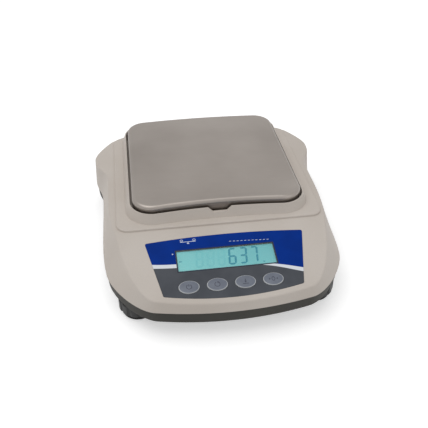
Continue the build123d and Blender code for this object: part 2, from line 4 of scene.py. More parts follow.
import bmesh
import bpy
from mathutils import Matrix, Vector

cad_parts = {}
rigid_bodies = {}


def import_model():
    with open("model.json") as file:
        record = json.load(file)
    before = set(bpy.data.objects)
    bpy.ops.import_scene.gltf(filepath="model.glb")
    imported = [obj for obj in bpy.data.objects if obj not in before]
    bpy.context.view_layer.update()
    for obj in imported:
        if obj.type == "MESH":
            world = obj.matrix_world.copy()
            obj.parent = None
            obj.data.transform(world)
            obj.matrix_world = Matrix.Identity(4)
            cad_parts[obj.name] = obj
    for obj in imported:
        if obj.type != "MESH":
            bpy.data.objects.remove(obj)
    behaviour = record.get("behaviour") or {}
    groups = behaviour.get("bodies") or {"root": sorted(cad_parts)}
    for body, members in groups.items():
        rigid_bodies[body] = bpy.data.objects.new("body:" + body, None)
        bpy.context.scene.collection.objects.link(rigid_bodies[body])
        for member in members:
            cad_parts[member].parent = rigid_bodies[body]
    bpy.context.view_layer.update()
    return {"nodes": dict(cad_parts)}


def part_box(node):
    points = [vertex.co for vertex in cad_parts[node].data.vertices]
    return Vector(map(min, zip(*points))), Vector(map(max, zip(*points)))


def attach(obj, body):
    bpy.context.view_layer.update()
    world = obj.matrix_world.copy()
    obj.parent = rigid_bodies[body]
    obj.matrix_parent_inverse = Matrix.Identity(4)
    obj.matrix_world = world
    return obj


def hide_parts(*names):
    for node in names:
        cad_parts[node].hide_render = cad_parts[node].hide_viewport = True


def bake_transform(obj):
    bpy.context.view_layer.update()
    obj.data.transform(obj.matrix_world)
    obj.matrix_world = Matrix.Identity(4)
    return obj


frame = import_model()
nodes = frame["nodes"]
mm = 0.001
print("frame loaded,", len(nodes), "nodes")

# camera, light and floor
camera = {
    "place": (-0.0639, -0.4427, 0.3615), "down": 36.656, "right": 8.285,
    "lens": 50.47, "sensor": 36.0, "nearest": 0.01,
}
studio = {
    "world": 0.5,
    "keySize": 1.8, "keyPlace": (-0.5, -0.1, 1.7), "keyAim": (0, 0, 0.05), "keyPower": 11.6,
    "fillSize": 1.2, "fillPlace": (0.9, -1.1, 0.9), "fillAim": (0, 0, 0.05), "fillPower": 2.0,
    "floorSize": 8.0, "floorColour": (0.86, 0.86, 0.86), "floorGlow": 0.46,
}


def setScene():
    scene = bpy.context.scene
    scene.view_settings.view_transform = "Standard"
    lensData = bpy.data.cameras.new("camera")
    lensData.sensor_width = camera["sensor"]
    lensData.lens = camera["lens"]
    lensData.clip_start = camera["nearest"]
    view = bpy.data.objects.new("camera", lensData)
    view.location = camera["place"]
    view.rotation_euler = (radians(90 - camera["down"]), 0, -radians(camera["right"]))
    scene.collection.objects.link(view)
    scene.camera = view


def softLamp(name, size, place, aim, power):
    data = bpy.data.lights.new(name, "AREA")
    data.shape = "DISK"
    data.size = size
    data.energy = power
    lamp = bpy.data.objects.new(name, data)
    lamp.location = place
    lamp.rotation_euler = (Vector(aim) - Vector(place)).to_track_quat("-Z", "Y").to_euler()
    bpy.context.scene.collection.objects.link(lamp)


def seenDirectly(tree):
    # 1 for rays that show the background: camera, glossy and transmission rays
    path = tree.nodes.new("ShaderNodeLightPath")
    total = None
    for ray in ("Is Camera Ray", "Is Glossy Ray", "Is Transmission Ray"):
        if total is None:
            total = path.outputs[ray]
            continue
        add = tree.nodes.new("ShaderNodeMath")
        add.operation = "MAXIMUM"
        tree.links.new(total, add.inputs[0])
        tree.links.new(path.outputs[ray], add.inputs[1])
        total = add.outputs[0]
    return total


def setStudio():
    world = bpy.data.worlds.new("studio")
    bpy.context.scene.world = world
    world.use_nodes = True
    tree = world.node_tree
    tree.nodes.clear()
    dim = tree.nodes.new("ShaderNodeBackground")
    dim.inputs["Color"].default_value = (1, 1, 1, 1)
    dim.inputs["Strength"].default_value = studio["world"]
    bright = tree.nodes.new("ShaderNodeBackground")
    bright.inputs["Color"].default_value = (1, 1, 1, 1)
    bright.inputs["Strength"].default_value = 1.0
    mix = tree.nodes.new("ShaderNodeMixShader")
    out = tree.nodes.new("ShaderNodeOutputWorld")
    tree.links.new(seenDirectly(tree), mix.inputs[0])
    tree.links.new(dim.outputs[0], mix.inputs[1])
    tree.links.new(bright.outputs[0], mix.inputs[2])
    tree.links.new(mix.outputs[0], out.inputs[0])
    softLamp("keyLamp", studio["keySize"], studio["keyPlace"], studio["keyAim"], studio["keyPower"])
    softLamp("fillLamp", studio["fillSize"], studio["fillPlace"], studio["fillAim"], studio["fillPower"])


def layFloor():
    bpy.ops.object.select_all(action="DESELECT")
    bpy.ops.mesh.primitive_plane_add(size=studio["floorSize"], location=(0, 0, 0))
    floor = bpy.context.object
    floor.name = "floor"
    material = bpy.data.materials.new("paleFloor")
    material.use_nodes = True
    tree = material.node_tree
    tree.nodes.clear()
    diffuse = tree.nodes.new("ShaderNodeBsdfDiffuse")
    diffuse.inputs["Color"].default_value = (*studio["floorColour"], 1)
    glow = tree.nodes.new("ShaderNodeEmission")
    glow.inputs["Strength"].default_value = studio["floorGlow"]
    both = tree.nodes.new("ShaderNodeAddShader")
    mix = tree.nodes.new("ShaderNodeMixShader")
    out = tree.nodes.new("ShaderNodeOutputMaterial")
    tree.links.new(diffuse.outputs[0], both.inputs[0])
    tree.links.new(glow.outputs[0], both.inputs[1])
    tree.links.new(seenDirectly(tree), mix.inputs[0])
    tree.links.new(diffuse.outputs[0], mix.inputs[1])
    tree.links.new(both.outputs[0], mix.inputs[2])
    tree.links.new(mix.outputs[0], out.inputs[0])
    floor.data.materials.append(material)


setScene()
setStudio()
layFloor()
print("camera, light and floor set")


# node helpers for the materials
def rgb(red, green, blue):
    # linear colour of a colour picked on screen, 0 to 255
    def part(value):
        value /= 255
        return value / 12.92 if value <= 0.04045 else ((value + 0.055) / 1.055) ** 2.4
    return (part(red), part(green), part(blue), 1)


class Bench:
    # one material with its tree, and short ways to add nodes to it
    def __init__(self, name):
        self.material = bpy.data.materials.new(name)
        self.material.use_nodes = True
        self.tree = self.material.node_tree
        self.shader = self.tree.nodes["Principled BSDF"]
        self.coordinates = self.tree.nodes.new("ShaderNodeTexCoord").outputs["Object"]

    def link(self, start, end):
        self.tree.links.new(start, end)

    def setShader(self, **values):
        for name, value in values.items():
            self.shader.inputs[name.replace("_", " ")].default_value = value

    def mapped(self, place=(0, 0, 0), turn=(0, 0, 0), scale=(1, 1, 1), kind="POINT"):
        node = self.tree.nodes.new("ShaderNodeMapping")
        node.vector_type = kind
        node.inputs["Location"].default_value = place
        node.inputs["Rotation"].default_value = turn
        node.inputs["Scale"].default_value = scale
        self.link(self.coordinates, node.inputs["Vector"])
        return node.outputs[0]

    def noise(self, scale, detail=2.0, rough=0.5, source=None):
        node = self.tree.nodes.new("ShaderNodeTexNoise")
        node.inputs["Scale"].default_value = scale
        node.inputs["Detail"].default_value = detail
        node.inputs["Roughness"].default_value = rough
        self.link(source or self.coordinates, node.inputs["Vector"])
        return node.outputs["Fac"]

    def cells(self, scale, source=None):
        node = self.tree.nodes.new("ShaderNodeTexVoronoi")
        node.inputs["Scale"].default_value = scale
        self.link(source or self.coordinates, node.inputs["Vector"])
        return node.outputs["Distance"]

    def math(self, operation, first, second=0.0):
        node = self.tree.nodes.new("ShaderNodeMath")
        node.operation = operation
        for slot, value in enumerate((first, second)):
            if isinstance(value, (int, float)):
                node.inputs[slot].default_value = value
            else:
                self.link(value, node.inputs[slot])
        return node.outputs[0]

    def ramp(self, value, low, high, lowOut=0.0, highOut=1.0):
        node = self.tree.nodes.new("ShaderNodeMapRange")
        node.clamp = True
        self.link(value, node.inputs["Value"])
        for name, number in (("From Min", low), ("From Max", high), ("To Min", lowOut), ("To Max", highOut)):
            node.inputs[name].default_value = number
        return node.outputs[0]

    def mix(self, factor, first, second):
        node = self.tree.nodes.new("ShaderNodeMix")
        node.data_type = "RGBA"
        node.clamp_factor = True
        self.link(factor, node.inputs["Factor"])
        for slot, value in ((6, first), (7, second)):
            if isinstance(value, tuple):
                node.inputs[slot].default_value = value
            else:
                self.link(value, node.inputs[slot])
        return node.outputs[2]

    def curve(self, value, points):
        # smooth curve through points, both axes 0 to 1
        node = self.tree.nodes.new("ShaderNodeFloatCurve")
        line = node.mapping.curves[0]
        line.points[0].location = points[0]
        line.points[1].location = points[-1]
        for point in points[1:-1]:
            line.points.new(*point)
        node.mapping.update()
        self.link(value, node.inputs["Value"])
        return node.outputs[0]

    def split(self, vector):
        node = self.tree.nodes.new("ShaderNodeSeparateXYZ")
        self.link(vector, node.inputs[0])
        return node.outputs

    def paint(self, colour):
        self.link(colour, self.shader.inputs["Base Color"])

    def roughen(self, value, low, high):
        # roughness follows a pattern between two values
        self.link(self.ramp(value, 0.3, 0.7, low, high), self.shader.inputs["Roughness"])

    def emboss(self, normal):
        self.link(normal, self.shader.inputs["Normal"])

    def bump(self, height, strength, distance, under=None):
        node = self.tree.nodes.new("ShaderNodeBump")
        node.inputs["Strength"].default_value = strength
        node.inputs["Distance"].default_value = distance
        self.link(height, node.inputs["Height"])
        if under is not None:
            self.link(under, node.inputs["Normal"])
        return node.outputs[0]


def mouldedPlastic(name, look):
    # fine spark-eroded mould texture with slow drifts of tone and gloss
    bench = Bench(name)
    bench.setShader(IOR=1.5, Specular_IOR_Level=look["specular"])
    drift = bench.noise(look["driftScale"], 2.0)
    grain = bench.noise(look["grainScale"], 3.0, 0.6)
    tone = bench.mix(bench.ramp(drift, 0.35, 0.65), look["dark"], look["light"])
    speck = bench.ramp(grain, 0.3, 0.7, 1 - look["speck"], 1 + look["speck"])
    hue = bench.tree.nodes.new("ShaderNodeHueSaturation")
    bench.link(tone, hue.inputs["Color"])
    bench.link(speck, hue.inputs["Value"])
    bench.paint(hue.outputs[0])
    bench.roughen(grain, look["roughLow"], look["roughHigh"])
    coarse = bench.bump(bench.noise(look["waveScale"], 1.0), look["wave"], 0.6 * mm)
    bench.emboss(bench.bump(grain, look["grain"], 0.2 * mm, coarse))
    return bench.material


def brushedMetal(name, look):
    # long fine brush lines along one way, over cloudy tone
    bench = Bench(name)
    bench.setShader(Metallic=look["metallic"], IOR=2.2)
    lines = bench.noise(1.0, 3.0, 0.7, bench.mapped(scale=look["brush"]))
    cloud = bench.noise(look["cloudScale"], 3.0)
    tone = bench.mix(bench.ramp(cloud, 0.3, 0.7), look["dark"], look["light"])
    streak = bench.ramp(lines, 0.25, 0.75, 1 - look["streak"], 1 + look["streak"])
    hue = bench.tree.nodes.new("ShaderNodeHueSaturation")
    bench.link(tone, hue.inputs["Color"])
    bench.link(streak, hue.inputs["Value"])
    bench.paint(hue.outputs[0])
    rough = bench.ramp(lines, 0.2, 0.8, look["roughLow"], look["roughHigh"])
    bench.link(rough, bench.shader.inputs["Roughness"])
    bench.emboss(bench.bump(lines, look["bump"], 0.1 * mm))
    return bench.material


def castMetal(name, look):
    # grainy cast or turned metal with small pits
    bench = Bench(name)
    bench.setShader(Metallic=look["metallic"], IOR=1.8)
    grain = bench.noise(look["grainScale"], 4.0, 0.6)
    pits = bench.cells(look["pitScale"])
    bench.paint(bench.mix(bench.ramp(grain, 0.35, 0.65), look["dark"], look["light"]))
    bench.roughen(grain, look["roughLow"], look["roughHigh"])
    bench.emboss(bench.bump(bench.math("MULTIPLY", grain, pits), look["bump"], 0.4 * mm))
    return bench.material


def dress(material, *names):
    for name in names:
        piece = nodes[name]
        piece.data.materials.clear()
        piece.data.materials.append(material)


# the console plane, shared by the film, display and keys
console = {"place": (0, -0.0498, 0.0545), "tilt": radians(12.15)}
film = {
    "reach": 66.0, "deepest": -90.0, "soft": 0.06,
    "blueEdge": [
        (-66, -34.3), (-54, -36.0), (-42, -36.8), (-20, -37.5),
        (20, -42.2), (38.8, -46.0), (57, -51.4), (66, -54.4),
    ],
    "greyEdge": [
        (-66, -38.4), (-54, -39.6), (-42, -40.4), (-20, -41.0),
        (10, -43.0), (28.2, -45.7), (56.4, -55.2), (66, -59.0),
    ],
    "blue": rgb(0, 49, 140), "blueDeep": rgb(0, 45, 130),
    "grey": rgb(84, 87, 93), "greyDeep": rgb(76, 79, 85),
    "white": rgb(226, 230, 236),
    "cloudScale": 60.0, "grainScale": 2600.0,
    "specular": 0.06, "roughLow": 0.34, "roughHigh": 0.46, "bump": 0.12,
}
window = {
    # painted shadow: the band width and the ink colours below draw the dark shadow band round the cover's edge
    "width": 80.8, "height": 22.0, "drop": 34.1, "shift": -1.5, "shadowBandWidth": 1.0, "soft": 0.05,
    "clear": rgb(190, 226, 226), "clearPale": rgb(204, 236, 236), "clearAlpha": 0.08,
    "ink": rgb(14, 24, 44), "shadowBandPale": rgb(22, 34, 58), "smudgeScale": 140.0, "rough": 0.12,
}
panel = {
    # painted light: the glow lights the glass under the cover, and the across and along slopes make it brighter
    # towards the lower left
    "deep": rgb(98, 180, 187), "pale": rgb(126, 204, 204), "glow": 0.1,
    "paintedLightAcross": -9.0, "paintedLightAlong": -14.0, "cloudScale": 45.0, "grainScale": 900.0, "specular": 0.2, "roughLow": 0.3, "roughHigh": 0.42,
}
keys = {
    "width": 16.4, "height": 11.8, "drop": 59.8, "spots": [-34.5, -12.5, 9.5, 31.5], "rise": 0.7,
    # painted highlight: the ring band and the pale ring colours below are light caught on the key's rim
    "rimHighlightFrom": 0.9, "rimHighlightTo": 0.93, "dome": 0.6, "domeBump": 0.35, "domeDepth": 2.0,
    "middle": rgb(98, 104, 117), "middlePale": rgb(110, 116, 129),
    "ring": rgb(172, 175, 180), "rimHighlightPale": rgb(188, 191, 194),
    "cloudScale": 160.0, "grainScale": 1800.0, "specular": 0.35, "coat": 0.15, "coatRough": 0.2,
    "roughLow": 0.3, "roughHigh": 0.4, "bump": 0.06,
}


def onConsole(x, along, above=0.0):
    # point in metres from millimetres across, up the slope and out of the console
    lean = console["tilt"]
    back = along * cos(lean) - above * sin(lean)
    up = along * sin(lean) + above * cos(lean)
    return Vector(console["place"]) + Vector((x, back, up)) * mm


def consoleFrame(bench):
    # across, up the slope and out of the console, in metres
    return bench.split(bench.mapped(console["place"], (console["tilt"], 0, 0), kind="TEXTURE"))


def slopeCurve(bench, across, points):
    # distance up the slope of a printed edge, by how far across it is
    reach, deep = film["reach"], film["deepest"]
    share = bench.ramp(across, -reach * mm, reach * mm)
    line = [((x + reach) / (2 * reach), 1 - v / deep) for x, v in points]
    return bench.math("MULTIPLY", bench.math("SUBTRACT", 1.0, bench.curve(share, line)), deep * mm)


def printedFilm():
    bench = Bench("printedFilm")
    bench.setShader(IOR=1.5, Specular_IOR_Level=film["specular"])
    across, along, _ = consoleFrame(bench)
    soft = film["soft"] * mm
    blueLine = slopeCurve(bench, across, film["blueEdge"])
    greyLine = slopeCurve(bench, across, film["greyEdge"])
    inBlue = bench.ramp(bench.math("SUBTRACT", along, blueLine), -soft, soft)
    inGrey = bench.ramp(bench.math("SUBTRACT", greyLine, along), -soft, soft)
    cloud = bench.ramp(bench.noise(film["cloudScale"], 2.0), 0.35, 0.65)
    blue = bench.mix(cloud, film["blueDeep"], film["blue"])
    grey = bench.mix(cloud, film["greyDeep"], film["grey"])
    bench.paint(bench.mix(inGrey, bench.mix(inBlue, film["white"], blue), grey))
    grain = bench.noise(film["grainScale"], 2.0, 0.6)
    bench.roughen(grain, film["roughLow"], film["roughHigh"])
    bench.emboss(bench.bump(grain, film["bump"], 0.1 * mm))
    return bench.material


def windowBorder(bench, across, along):
    # 1 on the painted shadow band round the window's edge, 0 inside it
    dx = bench.math("ABSOLUTE", bench.math("SUBTRACT", across, window["shift"] * mm))
    dy = bench.math("ABSOLUTE", bench.math("SUBTRACT", along, -window["drop"] * mm))
    outX = bench.math("SUBTRACT", dx, (window["width"] / 2 - window["shadowBandWidth"]) * mm)
    outY = bench.math("SUBTRACT", dy, (window["height"] / 2 - window["shadowBandWidth"]) * mm)
    soft = window["soft"] * mm
    return bench.ramp(bench.math("MAXIMUM", outX, outY), -soft, soft)


def displayCover():
    # clear cover with a dark painted shadow band round its edge, where a shadow gap falls
    bench = Bench("displayCover")
    bench.setShader(IOR=1.49, Roughness=window["rough"], Specular_IOR_Level=0.5)
    across, along, _ = consoleFrame(bench)
    edge = windowBorder(bench, across, along)
    smudge = bench.ramp(bench.noise(window["smudgeScale"], 3.0), 0.3, 0.7)
    # painted shadow: the opaque dark band on the cover's edge stands in for the shadow gap round the window
    paintedShadow = bench.mix(smudge, window["ink"], window["shadowBandPale"])
    clear = bench.mix(smudge, window["clear"], window["clearPale"])
    bench.paint(bench.mix(edge, clear, paintedShadow))
    bench.link(bench.ramp(edge, 0.0, 1.0, window["clearAlpha"], 1.0), bench.shader.inputs["Alpha"])
    return bench.material


def displayPanel():
    # display glass with a painted glow, and painted light that makes it brighter towards the lower left
    bench = Bench("displayPanel")
    bench.setShader(IOR=1.5, Specular_IOR_Level=panel["specular"], Emission_Strength=panel["glow"])
    across, along, _ = consoleFrame(bench)
    # painted light: brighter towards the lower left
    paintedLightSideways = bench.math("MULTIPLY", across, panel["paintedLightAcross"])
    paintedLightDownwards = bench.math("MULTIPLY", along, panel["paintedLightAlong"])
    cloud = bench.math("MULTIPLY", bench.noise(panel["cloudScale"], 2.0), 0.5)
    drift = bench.math("ADD", bench.math("ADD", paintedLightSideways, paintedLightDownwards), cloud)
    colour = bench.mix(bench.ramp(drift, 0.1, 1.2), panel["deep"], panel["pale"])
    bench.paint(colour)
    # painted glow: the glass shines with its own colour under the cover
    bench.link(colour, bench.shader.inputs["Emission Color"])
    bench.roughen(bench.noise(panel["grainScale"]), panel["roughLow"], panel["roughHigh"])
    return bench.material


def keyCap(number, spot):
    # domed key: a pale painted highlight round its rim, a cooler middle and a smooth satin skin
    bench = Bench("keyCap" + str(number))
    bench.setShader(
        IOR=1.5, Specular_IOR_Level=keys["specular"], Coat_Weight=keys["coat"], Coat_Roughness=keys["coatRough"],
    )
    across, along, _ = consoleFrame(bench)
    dx = bench.math("DIVIDE", bench.math("SUBTRACT", across, spot * mm), keys["width"] / 2 * mm)
    dy = bench.math("DIVIDE", bench.math("ADD", along, keys["drop"] * mm), keys["height"] / 2 * mm)
    away = bench.math("ADD", bench.math("MULTIPLY", dx, dx), bench.math("MULTIPLY", dy, dy))
    away = bench.math("SQRT", away)  # 0 in the middle of the key, 1 on its edge
    # painted highlight: a pale band near the key's edge, where its rim catches light
    ring = bench.ramp(away, keys["rimHighlightFrom"], keys["rimHighlightTo"])
    cloud = bench.ramp(bench.noise(keys["cloudScale"], 3.0), 0.3, 0.7)
    middle = bench.mix(cloud, keys["middle"], keys["middlePale"])
    pale = bench.mix(cloud, keys["ring"], keys["rimHighlightPale"])
    bench.paint(bench.mix(ring, middle, pale))
    grain = bench.noise(keys["grainScale"], 2.0)
    bench.roughen(grain, keys["roughLow"], keys["roughHigh"])
    dome = bench.math("POWER", bench.ramp(away, 0.0, 1.0, 1.0, 0.0), keys["dome"])
    hollow = bench.bump(dome, keys["domeBump"], keys["domeDepth"] * mm)
    bench.emboss(bench.bump(grain, keys["bump"], 0.1 * mm, hollow))
    return bench.material


rubberLook = {
    "dark": rgb(22, 22, 22), "dusty": rgb(38, 38, 37), "grainScale": 1400.0, "dustScale": 90.0,
    "roughLow": 0.62, "roughHigh": 0.8, "bump": 0.3,
}


def rubber(name):
    bench = Bench(name)
    bench.setShader(IOR=1.5, Specular_IOR_Level=0.3)
    grain = bench.noise(rubberLook["grainScale"], 4.0, 0.65)
    dust = bench.ramp(bench.noise(rubberLook["dustScale"], 3.0), 0.45, 0.7)
    bench.paint(bench.mix(dust, rubberLook["dark"], rubberLook["dusty"]))
    bench.roughen(grain, rubberLook["roughLow"], rubberLook["roughHigh"])
    bench.emboss(bench.bump(grain, rubberLook["bump"], 0.3 * mm))
    return bench.material


boardLook = {
    "scale": 130.0, "gap": 0.03,
    "track": rgb(18, 88, 54), "trackDeep": rgb(14, 76, 46), "bare": rgb(44, 120, 78),
    "padScale": 170.0, "padFrom": 0.16, "padTo": 0.2, "pad": rgb(196, 190, 172),
    "grainScale": 300.0, "roughLow": 0.3, "roughHigh": 0.5,
}


def circuitBoard(name):
    # green lacquer over copper tracks
    bench = Bench(name)
    bench.setShader(IOR=1.5, Specular_IOR_Level=0.5)
    tracks = bench.tree.nodes.new("ShaderNodeTexBrick")
    tracks.inputs["Scale"].default_value = boardLook["scale"]
    tracks.inputs["Mortar Size"].default_value = boardLook["gap"]
    tracks.inputs["Mortar"].default_value = boardLook["bare"]
    tracks.inputs["Color1"].default_value = boardLook["track"]
    tracks.inputs["Color2"].default_value = boardLook["trackDeep"]
    bench.link(bench.coordinates, tracks.inputs["Vector"])
    pads = bench.ramp(bench.cells(boardLook["padScale"]), boardLook["padFrom"], boardLook["padTo"])
    bench.paint(bench.mix(pads, boardLook["pad"], tracks.outputs["Color"]))
    bench.roughen(bench.noise(boardLook["grainScale"]), boardLook["roughLow"], boardLook["roughHigh"])
    return bench.material


def clearPart(name, look):
    bench = Bench(name)
    bench.setShader(IOR=1.49, Transmission_Weight=look["clear"], Specular_IOR_Level=0.5)
    cloud = bench.ramp(bench.noise(look["scale"], 2.0), 0.3, 0.7)
    bench.paint(bench.mix(cloud, look["dark"], look["light"]))
    rough = bench.ramp(cloud, 0.0, 1.0, look["roughLow"], look["roughHigh"])
    bench.link(rough, bench.shader.inputs["Roughness"])
    return bench.material


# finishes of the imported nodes
housingLook = {
    "dark": rgb(194, 185, 176), "light": rgb(201, 193, 185), "specular": 0.4, "driftScale": 14.0,
    "grainScale": 1500.0, "speck": 0.035, "roughLow": 0.5, "roughHigh": 0.62,
    "waveScale": 30.0, "wave": 0.04, "grain": 0.16,
}
trayLook = {
    "dark": rgb(54, 53, 49), "light": rgb(61, 60, 56), "specular": 0.25, "driftScale": 16.0,
    "grainScale": 1300.0, "speck": 0.06, "roughLow": 0.55, "roughHigh": 0.68,
    "waveScale": 30.0, "wave": 0.05, "grain": 0.22,
}
knobLook = {
    "dark": rgb(26, 26, 26), "light": rgb(34, 34, 34), "specular": 0.45, "driftScale": 50.0,
    "grainScale": 1300.0, "speck": 0.08, "roughLow": 0.38, "roughHigh": 0.5,
    "waveScale": 60.0, "wave": 0.05, "grain": 0.15,
}
blackLook = {
    "dark": rgb(24, 24, 25), "light": rgb(33, 33, 34), "specular": 0.4, "driftScale": 40.0,
    "grainScale": 1500.0, "speck": 0.05, "roughLow": 0.4, "roughHigh": 0.55,
    "waveScale": 50.0, "wave": 0.04, "grain": 0.12,
}
panLook = {
    "metallic": 1.0, "dark": rgb(140, 133, 127), "light": rgb(156, 149, 143), "brush": (60.0, 2600.0, 2600.0),
    "cloudScale": 12.0, "streak": 0.05, "roughLow": 0.3, "roughHigh": 0.42, "bump": 0.06,
}
steelLook = {
    "metallic": 1.0, "dark": rgb(172, 172, 172), "light": rgb(192, 192, 190), "brush": (2000.0, 2000.0, 90.0),
    "cloudScale": 60.0, "streak": 0.06, "roughLow": 0.25, "roughHigh": 0.38, "bump": 0.08,
}
cellLook = {
    "metallic": 1.0, "dark": rgb(186, 188, 190), "light": rgb(204, 206, 208), "brush": (1800.0, 60.0, 1800.0),
    "cloudScale": 40.0, "streak": 0.06, "roughLow": 0.3, "roughHigh": 0.45, "bump": 0.08,
}
castLook = {
    "metallic": 0.85, "dark": rgb(140, 141, 143), "light": rgb(168, 169, 171), "grainScale": 700.0,
    "pitScale": 900.0, "roughLow": 0.45, "roughHigh": 0.62, "bump": 0.35,
}
brassLook = {
    "metallic": 1.0, "dark": rgb(176, 142, 78), "light": rgb(202, 168, 100), "grainScale": 900.0,
    "pitScale": 700.0, "roughLow": 0.28, "roughHigh": 0.42, "bump": 0.15,
}

housingPlastic = mouldedPlastic("housingPlastic", housingLook)
trayPlastic = mouldedPlastic("trayPlastic", trayLook)
knobPlastic = mouldedPlastic("knobPlastic", knobLook)
blackPlastic = mouldedPlastic("blackPlastic", blackLook)
panSteel = brushedMetal("panSteel", panLook)
screwSteel = brushedMetal("screwSteel", steelLook)
cellMetal = brushedMetal("cellMetal", cellLook)
castAlloy = castMetal("castAlloy", castLook)
insertBrass = castMetal("insertBrass", brassLook)
footRubber = rubber("footRubber")
boardGreen = circuitBoard("boardGreen")
levelGlass = clearPart("levelGlass", {
    "clear": 0.9, "dark": rgb(214, 232, 170), "light": rgb(226, 240, 190),
    "scale": 80.0, "roughLow": 0.03, "roughHigh": 0.08,
})
lightGuide = clearPart("lightGuide", {
    "clear": 0.3, "dark": rgb(226, 234, 230), "light": rgb(238, 244, 240),
    "scale": 50.0, "roughLow": 0.3, "roughHigh": 0.5,
})

dress(housingPlastic, "upper_housing")
dress(trayPlastic, "lower_housing")
dress(panSteel, "weighing_pan")
dress(castAlloy, "pan_carrier")
dress(cellMetal, "load_cell", "cell_plate")
dress(
    screwSteel, "housing_screws", "carrier_screws", "cell_screws", "overload_stop",
    "board_screws", "main_board_screws", "socket_nut",
)
dress(footRubber, "post_caps")
dress(printedFilm(), "overlay_film")
dress(displayCover(), "display_window")
dress(displayPanel(), "display_glass")
dress(lightGuide, "display_light")
dress(blackPlastic, "display_frame", "key_switches", "board_chips", "power_socket", "level_case")
dress(boardGreen, "keypad_board", "main_board")
dress(levelGlass, "level_glass")
dress(insertBrass, "foot_inserts")
for number, spot in enumerate(keys["spots"], start=1):
    dress(keyCap(number, spot), "key_" + str(number))
for place in ("front_left", "front_right", "rear_left", "rear_right"):
    dress(knobPlastic, "foot_knob_" + place)
    dress(footRubber, "foot_pad_" + place)
    dress(screwSteel, "foot_stud_" + place)
print("packed nodes dressed")


# modelling helpers
def freshObject(add, name, **settings):
    # adds a primitive with nothing else selected
    bpy.ops.object.select_all(action="DESELECT")
    add(**settings)
    piece = bpy.context.object
    piece.name = name
    piece.data.name = name
    return piece


def only(piece):
    bpy.ops.object.select_all(action="DESELECT")
    piece.select_set(True)
    bpy.context.view_layer.objects.active = piece


def settle(piece):
    # the object goes to the origin, and its place into its mesh
    only(piece)
    bpy.ops.object.transform_apply(location=True, rotation=True, scale=True)


def placeOnConsole(piece, x, along, above):
    # from a flat drawing in millimetres around the origin to its place on the console
    only(piece)
    piece.scale = (mm, mm, mm)
    piece.rotation_euler = (console["tilt"], 0, 0)
    piece.location = onConsole(x, along, above)
    settle(piece)


def joined(pieces, name):
    bpy.ops.object.select_all(action="DESELECT")
    for piece in pieces:
        piece.select_set(True)
    bpy.context.view_layer.objects.active = pieces[0]
    if len(pieces) > 1:
        bpy.ops.object.join()
    piece = bpy.context.object
    piece.name = name
    piece.data.name = name
    return piece


def thicken(piece, height):
    # extrudes the flat drawing upwards
    only(piece)
    bpy.ops.object.mode_set(mode="EDIT")
    bpy.ops.mesh.select_all(action="SELECT")
    bpy.ops.mesh.extrude_region_move(TRANSFORM_OT_translate={"value": (0, 0, height)})
    bpy.ops.mesh.select_all(action="SELECT")
    bpy.ops.mesh.normals_make_consistent(inside=False)
    bpy.ops.object.mode_set(mode="OBJECT")


def finishPiece(piece, material, body):
    piece.data.materials.clear()
    piece.data.materials.append(material)
    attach(piece, body)


def barShape(length, width, name):
    # flat six-sided bar with pointed ends, lying along X
    bar = freshObject(bpy.ops.mesh.primitive_plane_add, name, size=1.0)
    only(bar)
    bpy.ops.object.mode_set(mode="EDIT")
    bpy.ops.mesh.select_all(action="SELECT")
    bpy.ops.transform.resize(value=(length - width, width, 1))
    for side in (1, -1):
        bpy.ops.mesh.select_all(action="DESELECT")
        mesh = bmesh.from_edit_mesh(bar.data)
        for edge in mesh.edges:
            middle = (edge.verts[0].co + edge.verts[1].co) / 2
            edge.select_set(abs(middle.x - side * (length - width) / 2) < 1e-4)
        bmesh.update_edit_mesh(bar.data)
        bpy.ops.mesh.extrude_edges_move(TRANSFORM_OT_translate={"value": (side * width / 2, 0, 0)})
        bpy.ops.mesh.merge(type="CENTER")
    bpy.ops.object.mode_set(mode="OBJECT")
    return bar


def copyOf(piece, place, turn=0.0):
    twin = piece.copy()
    twin.data = piece.data.copy()
    bpy.context.scene.collection.objects.link(twin)
    twin.location = place
    twin.rotation_euler = (0, 0, turn)
    return twin


# digits of the display
digitLook = {
    "width": 6.6, "height": 16.6, "stroke": 1.7, "gap": 0.18, "slant": 0.105, "thick": 0.05,
    "pitch": 8.85, "firstX": 3.6, "middle": -33.2, "shown": "637", "ghostCount": 3, "depth": -1.1,
    "marks": [("displayPoint", 28.0, -41.2, 2.0), ("displayDash", -38.6, -34.0, 2.6)], "markWidth": 0.9,
    # the glow values below are painted glow that lights the digits under the cover
    "ink": rgb(0, 126, 146), "inkDeep": rgb(0, 118, 138), "inkPaintedGlow": 0.28,
    "faint": rgb(108, 188, 192), "faintDeep": rgb(104, 185, 189), "faintPaintedGlow": 0.17, "cloudScale": 500.0,
}
segmentsOf = {"6": "afedcg", "3": "abgcd", "7": "abc", "8": "abcdefg"}


def digitDrawing(figure, name):
    width, height = digitLook["width"] - digitLook["stroke"], digitLook["height"] - digitLook["stroke"]
    flat = barShape(width - digitLook["gap"], digitLook["stroke"], name + "Flat")
    tall = barShape(height / 2 - digitLook["gap"], digitLook["stroke"], name + "Tall")
    places = {
        "a": (0, height / 2), "g": (0, 0), "d": (0, -height / 2),
        "b": (width / 2, height / 4), "c": (width / 2, -height / 4),
        "f": (-width / 2, height / 4), "e": (-width / 2, -height / 4),
    }
    bars = []
    for segment in segmentsOf[figure]:
        x, y = places[segment]
        if segment in "agd":
            bars.append(copyOf(flat, (x, y, 0)))
        else:
            bars.append(copyOf(tall, (x, y, 0), pi / 2))
    bpy.data.objects.remove(flat)
    bpy.data.objects.remove(tall)
    return joined(bars, name)


def slanted(piece):
    settle(piece)
    for point in piece.data.vertices:
        point.co.x += point.co.y * digitLook["slant"]


